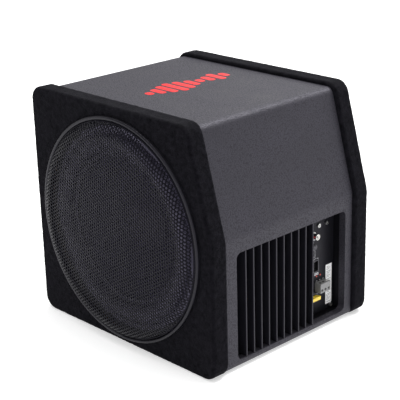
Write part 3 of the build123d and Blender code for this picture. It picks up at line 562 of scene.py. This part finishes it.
# rings from the driver hole, or from the middle, out over the face, round the edge and back to the shell
def carpetRings(low, high, outward, holeRadius, faceRows, sideRows):
    shape = panelShape
    points, normals = panelOutline(low, high)
    front = low[1] if outward < 0 else high[1]
    back = high[1] if outward < 0 else low[1]
    edge = shape["edgeRadius"]
    centre = Vector((0.0, shape["driverHeight"]))
    rings = []

    def ring(inset, depth):
        rings.append([(p.x - n.x * inset, depth, p.y - n.y * inset) for p, n in zip(points, normals)])

    inner = []
    for p, n in zip(points, normals):
        spoke = (p - n * edge) - centre
        inner.append((spoke.normalized() * holeRadius, spoke))
    if outward < 0:
        rings.append([(centre.x + a.x, front - outward * shape["tuck"], centre.y + a.y) for a, _ in inner])
        rings.append([(centre.x + a.x, front - outward * shape["tuckTurn"], centre.y + a.y)
                      for a, _ in inner])
    for row in range(faceRows):
        share = row / faceRows
        rings.append([(centre.x + a.x + (b.x - a.x) * share, front, centre.y + a.y + (b.y - a.y) * share)
                      for a, b in inner])
    for step in range(shape["edgeSteps"] + 1):
        angle = math.pi / 2 * step / shape["edgeSteps"]
        ring(edge * (1 - math.sin(angle)), front - outward * edge * (1 - math.cos(angle)))
    run = abs(back - front) - 2 * edge
    for row in range(1, sideRows):
        ring(0.0, front - outward * (edge + run * row / sideRows))
    for step in range(shape["edgeSteps"] + 1):
        angle = math.pi / 2 * step / shape["edgeSteps"]
        ring(edge * (1 - math.cos(angle)), back + outward * edge * (1 - math.sin(angle)))
    ring(shape["lip"] + shape["lipLap"], back)
    return rings


# the point raised by the pile, kept above the floor
def fluff(point, normal):
    spot = Vector(point)
    rise = noise.noise(spot / carpetPile["tuftSize"]) * carpetPile["tuftHeight"]
    clump = noise.noise(spot / carpetPile["clumpSize"] + Vector(carpetPile["clumpShift"]))
    rise += clump * carpetPile["clumpHeight"]
    moved = spot + normal * rise
    moved.z = max(moved.z, 0.0)
    return moved


def makeCarpet(name, node, outward, holeRadius, faceRows):
    low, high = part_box(node)
    rings = carpetRings(low, high, outward, holeRadius, faceRows, panelShape["sideRows"])
    perRing = panelShape["around"]
    points = [point for ring in rings for point in ring]
    faces = ringFaces(len(rings), perRing)
    if outward > 0:
        points.append((0.0, high[1], panelShape["driverHeight"]))
        middle = len(points) - 1
        faces += [((step + 1) % perRing, step, middle) for step in range(perRing)]
        faces = [tuple(reversed(face)) for face in faces]
    obj = addMesh(name, points, faces, "carpet")
    mesh = obj.data
    normals = [vertex.vector.copy() for vertex in mesh.vertex_normals]
    moved = [fluff(point, normal) for point, normal in zip(points, normals)]
    mesh.vertices.foreach_set("co", [value for point in moved for value in point])
    mesh.update()
    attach(obj, "enclosure")
    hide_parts(node)
    return obj


frontCarpet = makeCarpet("front_carpet_pile", "front_carpet", -1, panelShape["holeRadius"],
                         panelShape["frontRows"])
rearCarpet = makeCarpet("rear_carpet_pile", "rear_carpet", 1, panelShape["rearMiddle"],
                        panelShape["rearRows"])
print("carpets laid:", len(frontCarpet.data.polygons) + len(rearCarpet.data.polygons), "faces")


# perforated grille

grille = {"pitch": 5.0 * mm, "holeRadius": 1.78 * mm, "holeSides": 12, "sheet": 1.0 * mm,
          "skirtRadius": 153.6 * mm, "shoulderRadius": 128 * mm, "shoulderDepth": 14 * mm,
          "skirtDepth": 4 * mm, "bendIn": 8.5 * mm, "bendRise": 2.6 * mm, "crownDepth": 17 * mm,
          "edgeRoom": 0.1 * mm, "weld": 0.05 * mm}
border = {"holesEnd": 151.4 * mm, "lap": 0.6 * mm, "sink": 0.25 * mm, "rows": 10, "crowding": 0.7,
          "skirtTop": 1 * mm, "skirtEnd": 6.8 * mm, "ringSteps": 300}


# circle through three (radius, depth) points, as centre and radius
def circleThrough(a, b, c):
    ax, ay, bx, by, cx, cy = *a, *b, *c
    d = 2 * (ax * (by - cy) + bx * (cy - ay) + cx * (ay - by))
    ux = ((ax**2 + ay**2) * (by - cy) + (bx**2 + by**2) * (cy - ay) + (cx**2 + cy**2) * (ay - by)) / d
    uy = ((ax**2 + ay**2) * (cx - bx) + (bx**2 + by**2) * (ax - cx) + (cx**2 + cy**2) * (bx - ax)) / d
    return ux, uy, math.hypot(ax - ux, ay - uy)


def grilleProfile():
    g = grille
    edge = (g["skirtRadius"], -g["skirtDepth"])
    shoulder = (g["shoulderRadius"], -g["shoulderDepth"])
    bend = (g["skirtRadius"] - g["bendIn"], (edge[1] + shoulder[1]) / 2 - g["bendRise"])
    return circleThrough(edge, bend, shoulder)


bendX, bendY, bendRadius = grilleProfile()
crownRise = grille["crownDepth"] - grille["shoulderDepth"]
crownRadius = (grille["shoulderRadius"] ** 2 + crownRise**2) / (2 * crownRise)
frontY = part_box("front_carpet")[0][1]
driverZ = panelShape["driverHeight"]


# depth of the dome behind the front face at a radius; forward is negative
def domeDepth(radius):
    if radius <= grille["shoulderRadius"]:
        return -grille["crownDepth"] + crownRadius - math.sqrt(crownRadius**2 - radius**2)
    reach = min(abs(radius - bendX), bendRadius)
    return bendY - math.sqrt(bendRadius**2 - reach**2)


def makeGrille():
    g = grille
    column = g["pitch"] * math.sqrt(3) / 2
    count = int(g["skirtRadius"] / column) + 1
    hexReach = g["pitch"] / math.sqrt(3)
    points, faces = [], []
    cornerAt = {}
    sides = g["holeSides"]

    def place(x, z, back):
        radius = min(math.hypot(x, z), g["skirtRadius"] - g["edgeRoom"])
        depth = domeDepth(radius) + back
        points.append((x, frontY + depth, driverZ + z))
        return len(points) - 1

    def corner(x, z, back):
        key = (round(x / g["weld"]), round(z / g["weld"]), back)
        if key not in cornerAt:
            cornerAt[key] = place(x, z, back)
        return cornerAt[key]

    holes = 0
    for across in range(-count, count + 1):
        shift = g["pitch"] / 2 if across % 2 else 0.0
        for up in range(-count, count + 1):
            x, z = across * column, up * g["pitch"] + shift
            if math.hypot(x, z) > border["holesEnd"]:
                continue
            holes += 1
            for back, flip in ((0.0, False), (g["sheet"], True)):
                outer = [corner(x + hexReach * math.cos(math.pi / 3 * k),
                                z + hexReach * math.sin(math.pi / 3 * k), back) for k in range(6)]
                inner = [place(x + g["holeRadius"] * math.cos(math.tau * k / sides),
                               z + g["holeRadius"] * math.sin(math.tau * k / sides), back)
                         for k in range(sides)]
                for k in range(6):
                    a, b = outer[k], outer[(k + 1) % 6]
                    i0, i1, i2 = inner[2 * k], inner[2 * k + 1], inner[(2 * k + 2) % sides]
                    for face in ((a, i1, i0), (a, b, i1), (b, i2, i1)):
                        faces.append(tuple(reversed(face)) if flip else face)
                if flip:
                    for k in range(sides):
                        after = (k + 1) % sides
                        faces.append((front[k], front[after], inner[after], inner[k]))
                front = inner
    obj = addMesh("grille_mesh_punched", points, faces, "meshPaint")
    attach(obj, "enclosure")
    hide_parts("grille_mesh")
    print("grille punched:", holes, "holes,", len(obj.data.polygons), "faces")


# plain rolled border of the grille, down into the rim
def makeGrilleBorder():
    b = border
    skirt = grille["skirtRadius"]
    sheet = grille["sheet"]
    profile = []
    for step in range(b["rows"]):
        start = b["holesEnd"] + b["lap"]
        radius = start + (skirt - start) * (step / (b["rows"] - 1)) ** b["crowding"]
        profile.append((radius, domeDepth(radius) + b["sink"]))
    inner = [(radius - b["lap"], depth + sheet) for radius, depth in reversed(profile)]
    profile += [(skirt, b["skirtTop"]), (skirt, b["skirtEnd"]), (skirt - sheet, b["skirtEnd"]),
                (skirt - sheet, b["skirtTop"])] + inner
    points = lathePoints(profile, b["ringSteps"])
    faces = ringFaces(len(profile) + 1, b["ringSteps"])
    total = len(profile) * b["ringSteps"]
    faces = [tuple(index % total for index in face) for face in faces]
    obj = addMesh("grille_border", points, faces, "meshPaint")
    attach(obj, "enclosure")
    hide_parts("grille_mesh")


# points of a profile of (radius, depth) turned about the driver's axis
def lathePoints(profile, steps, start=0.0, sweep=math.tau, closed=True):
    points = []
    for radius, depth in profile:
        for step in range(steps):
            angle = start + sweep * step / (steps if closed else steps - 1)
            points.append((radius * math.cos(angle), frontY + depth, driverZ + radius * math.sin(angle)))
    return points


makeGrille()
makeGrilleBorder()


# surround and spider, which give as the cone moves

softRings = {"wedges": 16, "stepsPerWedge": 13}
surroundShape = {"rollCentre": 120 * mm, "rollRadius": 12 * mm, "back": 10.5 * mm, "rubber": 1.0 * mm,
                 "outer": 143 * mm, "inner": 101 * mm, "fixedAt": 130.5 * mm, "movingAt": 108 * mm,
                 "ribs": 5, "ribRise": 0.18 * mm, "steps": 24, "frontFoot": 1.0 * mm, "rearFoot": 0.2 * mm}
spiderShape = {"depth": 75 * mm, "wave": 1.8 * mm, "waves": 5, "cloth": 0.7 * mm, "inner": 26.1 * mm,
               "outer": 69 * mm, "rim": 81 * mm, "ledge": 78 * mm, "fixedAt": 67.6 * mm, "movingAt": 27 * mm,
               "steps": 60, "rise": 0.8 * mm, "glue": 0.05 * mm}


# outline of the half-roll, out along the front and back along the rear
def surroundProfile():
    s = surroundShape
    start, end = s["rollCentre"] - s["rollRadius"], s["rollCentre"] + s["rollRadius"]
    behind = s["back"] + s["rubber"]
    front = [(s["inner"], s["back"]), (start - s["frontFoot"], s["back"])]
    rear = [(s["inner"], behind), (start - s["rearFoot"], behind)]
    for step in range(s["steps"] + 1):
        angle = math.pi * step / s["steps"]
        rib = s["ribRise"] * math.cos(s["ribs"] * 2 * angle)
        outside = s["rollRadius"] + s["rubber"] / 2 + rib
        inside = s["rollRadius"] - s["rubber"] / 2
        for side, reach in ((front, outside), (rear, inside)):
            side.append((s["rollCentre"] - reach * math.cos(angle), s["back"] - reach * math.sin(angle)))
    front += [(end + s["frontFoot"], s["back"]), (s["outer"], s["back"])]
    rear += [(end + s["rearFoot"], behind), (s["outer"], behind)]
    return front + rear[::-1]


# waves of cloth, then a flat rim on the basket's ledge
def spiderProfile():
    s = spiderShape
    front, rear = [], []
    for step in range(s["steps"] + 1):
        share = step / s["steps"]
        radius = s["inner"] + (s["outer"] - s["inner"]) * share
        depth = s["depth"] - s["wave"] * math.sin(math.tau * s["waves"] * share)
        front.append((radius, depth))
        rear.append((radius, depth + s["cloth"]))
    top, base = s["ledge"] - s["cloth"], s["ledge"] - s["glue"]
    front += [(s["outer"] + s["rise"], top), (s["rim"], top)]
    rear += [(s["outer"], base), (s["rim"], base)]
    return front + rear[::-1]


# a ring in wedges, so that each one can give along its own radius
def makeSoftRing(name, node, profile, finish):
    wedge = math.tau / softRings["wedges"]
    steps = softRings["stepsPerWedge"]
    for index in range(softRings["wedges"]):
        start = wedge * index
        points = lathePoints(profile, steps, start, wedge, closed=False)
        faces = ringFaces(len(profile), steps, closed=False)
        last = (len(profile) - 1) * steps
        faces += [(last + k, last + k + 1, k + 1, k) for k in range(steps - 1)]
        obj = addMesh(f"{name}_{index + 1:02d}", points, faces, finish)
        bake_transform(obj)
        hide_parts(node)


makeSoftRing("surround_roll", "surround", surroundProfile(), "rubber")
makeSoftRing("spider_waves", "spider", spiderProfile(), "spider")
print("surround and spider built")


# print on the connector panel and on its label

ink = {"lift": 0.06 * mm, "bar": 1.05 * mm, "barLength": 9.0 * mm, "barShift": 4.0 * mm, "line": 0.45 * mm,
       "tick": 0.35 * mm, "tickLength": 1.3 * mm, "longTick": 1.5, "tickGap": 1.5 * mm, "ticks": 11,
       "sweep": 280.0, "wireWays": 3, "wireBar": (3.2 * mm, 0.6 * mm), "wireGap": 1.6 * mm,
       "knobs": ("gain_knob", "crossover_knob", "boost_knob"),
       "frames": (("high_level_socket", 2.4 * mm), ("remote_port", 2.0 * mm), ("phase_switch", 2.4 * mm)),
       "bars": (("gain_knob", 1, 3.6 * mm), ("phase_switch", 1, 2.9 * mm), ("phase_switch", -1, 2.7 * mm),
                ("high_level_socket", -1, 3.4 * mm), ("high_level_socket", -1, 5.4 * mm))}
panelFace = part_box("connector_panel")[1][0]


def quadOnPanel(points, faces, x, y, z, wide, tall, turn=0.0):
    start = len(points)
    cosine, sine = math.cos(turn), math.sin(turn)
    for a, b in ((-1, -1), (1, -1), (1, 1), (-1, 1)):
        dy, dz = a * wide / 2, b * tall / 2
        points.append((x, y + dy * cosine - dz * sine, z + dy * sine + dz * cosine))
    faces.append((start, start + 1, start + 2, start + 3))


def centreOf(node):
    low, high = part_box(node)
    return [(low[k] + high[k]) / 2 for k in range(3)], [high[k] - low[k] for k in range(3)]


# scales round the knobs, frames round the sockets and short bars between them
def makePanelPrint():
    points, faces = [], []
    x = panelFace + ink["lift"]
    marked = (0, ink["ticks"] // 2, ink["ticks"] - 1)
    for knob in ink["knobs"]:
        middle, size = centreOf(knob)
        reach = size[1] / 2 + ink["tickGap"]
        for step in range(ink["ticks"]):
            angle = math.radians(90 + ink["sweep"] / 2 - ink["sweep"] * step / (ink["ticks"] - 1))
            tall = ink["tickLength"] * (ink["longTick"] if step in marked else 1.0)
            quadOnPanel(points, faces, x, middle[1] + reach * math.cos(angle),
                        middle[2] + reach * math.sin(angle), ink["tick"], tall, angle - math.pi / 2)
    for socket, grow in ink["frames"]:
        middle, size = centreOf(socket)
        wide, tall = size[1] + grow, size[2] + grow
        for side in (-1, 1):
            quadOnPanel(points, faces, x, middle[1], middle[2] + side * tall / 2, wide, ink["line"])
            quadOnPanel(points, faces, x, middle[1] + side * wide / 2, middle[2], ink["line"], tall)
    for node, side, gap in ink["bars"]:
        middle, size = centreOf(node)
        quadOnPanel(points, faces, x, middle[1] + ink["barShift"], middle[2] + side * (size[2] / 2 + gap),
                    ink["barLength"], ink["bar"])
    low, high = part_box("power_terminal")
    for step in range(ink["wireWays"]):
        y = low[1] + (high[1] - low[1]) * (step + 0.5) / ink["wireWays"]
        quadOnPanel(points, faces, x, y, high[2] + ink["wireGap"], *ink["wireBar"])
    obj = addMesh("panel_print", points, faces, "print", smooth=False)
    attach(obj, "enclosure")


labelRules = {"margin": 3 * mm, "rule": 0.5 * mm, "rowStep": 2.1 * mm, "blockStep": 3.4 * mm,
              "shares": (0.95, 0.6, 0.8, 0.45, 0.7)}


# rules in blocks of five, as on a blank rating plate
def makeLabelPrint():
    rules = labelRules
    low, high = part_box("spec_label")
    x = high[0] + ink["lift"]
    points, faces = [], []
    wide = high[1] - low[1] - rules["margin"]
    middle = (low[1] + high[1]) / 2
    z = low[2] + rules["margin"]
    row = 0
    while z < high[2] - rules["margin"]:
        place = row % len(rules["shares"])
        share = rules["shares"][place]
        quadOnPanel(points, faces, x, middle - wide * (1 - share) / 2, z, wide * share, rules["rule"])
        z += rules["rowStep"] if place else rules["blockStep"]
        row += 1
    obj = addMesh("label_rules", points, faces, "component", smooth=False)
    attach(obj, "enclosure")


shadedJackContact = {"outer": 1.62 * mm, "inner": 1.15 * mm, "recess": 0.7 * mm, "length": 8.6 * mm, "steps": 24,
               "lead": 0.1 * mm, "foot": 0.4 * mm}


# the contact sleeve down the middle of each phono jack, coloured black as painted shade in its centre hole
def makeShadedJackContacts():
    j = shadedJackContact
    points, faces = [], []
    for jack in ("rca_left", "rca_right"):
        middle, _ = centreOf(jack)
        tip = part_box(jack)[1][0] - j["recess"]
        back = tip - j["length"]
        profile = ((back, j["outer"]), (tip, j["outer"]), (tip - j["lead"], j["inner"]),
                   (back + j["foot"], j["inner"]))
        start = len(points)
        for x, radius in profile:
            for step in range(j["steps"]):
                angle = math.tau * step / j["steps"]
                points.append((x, middle[1] + radius * math.cos(angle), middle[2] + radius * math.sin(angle)))
        for face in ringFaces(len(profile), j["steps"]):
            faces.append(tuple(start + index for index in face))
        for row in (0, len(profile) - 1):
            cap = [start + row * j["steps"] + step for step in range(j["steps"])]
            faces.append(tuple(cap if row else reversed(cap)))
    obj = addMesh("jack_contacts_shade", points, faces, "component")
    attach(obj, "enclosure")


makeShadedJackContacts()
makePanelPrint()
makeLabelPrint()
print("panel and label printed")


# floor, light, camera

stage = {"floorSize": 14.0, "floorTint": (0.80, 0.80, 0.80), "floorGlow": 0.47,
         "world": 0.64, "backdrop": 1.0,
         "lights": [("overhead", (0.1, 0.3, 2.6), (0.0, 0.05, 0.2), 2.4, 55.0),
                    ("farSheen", (-1.6, 2.6, 1.7), (0.05, 0.05, 0.34), 1.5, 8.0),
                    ("foldSheen", (0.40, 2.0, 2.5), (0.12, 0.0, 0.33), 0.7, 56.0),
                    ("frontRight", (1.6, -2.6, 1.2), (0.0, 0.0, 0.2), 1.4, 7.0)]}
camera = {"place": (1.1764, -1.1057, 0.7489), "azimuth": 46.615, "elevation": 19.663, "roll": -1.539,
          "lens": 107.84, "sensor": 36.0}


def makeFloor():
    size = stage["floorSize"] / 2
    corners = [(-size, -size, 0), (size, -size, 0), (size, size, 0), (-size, size, 0)]
    obj = addMesh("floor", corners, [(0, 1, 2, 3)], "label", smooth=False)
    material, tree, shader, vector = startMaterial("paleFloor")
    base = useGroup(tree, mottleGroup, (-900, 100), vector, Scale=1.2, Gloss=0.7, Drift=0.03,
                    Light=rgba(stage["floorTint"]), Dark=rgba(shade(stage["floorTint"], 0.985)))
    tree.links.new(base.outputs["Color"], shader.inputs["Base Color"])
    tree.links.new(base.outputs["Roughness"], shader.inputs["Roughness"])
    shader.inputs["Specular IOR Level"].default_value = 0.2
    shader.inputs["Emission Color"].default_value = (1.0, 1.0, 1.0, 1.0)
    shader.inputs["Emission Strength"].default_value = stage["floorGlow"]
    obj.data.materials[0] = material


def makeLights():
    world = bpy.data.worlds.new("studio")
    bpy.context.scene.world = world
    world.use_nodes = True
    tree = world.node_tree
    background = tree.nodes["Background"]
    background.inputs["Color"].default_value = (1.0, 1.0, 1.0, 1.0)
    # the backdrop shows white and lights the room less
    seen = addNode(tree, "ShaderNodeLightPath", (-600, 0))
    strength = mapRange(tree, (-300, 0), seen.outputs["Is Camera Ray"], 0.0, 1.0,
                        stage["world"], stage["backdrop"])
    tree.links.new(strength, background.inputs["Strength"])
    for name, place, aim, size, power in stage["lights"]:
        data = bpy.data.lights.new(name, "AREA")
        data.size = size
        data.energy = power
        lamp = bpy.data.objects.new(name, data)
        lamp.location = place
        direction = Vector(aim) - Vector(place)
        lamp.rotation_euler = direction.to_track_quat("-Z", "Y").to_euler()
        bpy.context.scene.collection.objects.link(lamp)


def makeCamera():
    data = bpy.data.cameras.new("camera")
    data.lens = camera["lens"]
    data.sensor_width = camera["sensor"]
    obj = bpy.data.objects.new("camera", data)
    turn = Matrix.Rotation(math.radians(camera["azimuth"]), 4, "Z")
    tilt = Matrix.Rotation(math.radians(90 - camera["elevation"]), 4, "X")
    roll = Matrix.Rotation(math.radians(camera["roll"]), 4, "Z")
    obj.matrix_world = Matrix.Translation(camera["place"]) @ turn @ tilt @ roll
    bpy.context.scene.collection.objects.link(obj)
    bpy.context.scene.camera = obj


makeFloor()
makeLights()
makeCamera()
bpy.context.scene.view_settings.view_transform = "Standard"
print("stage set")
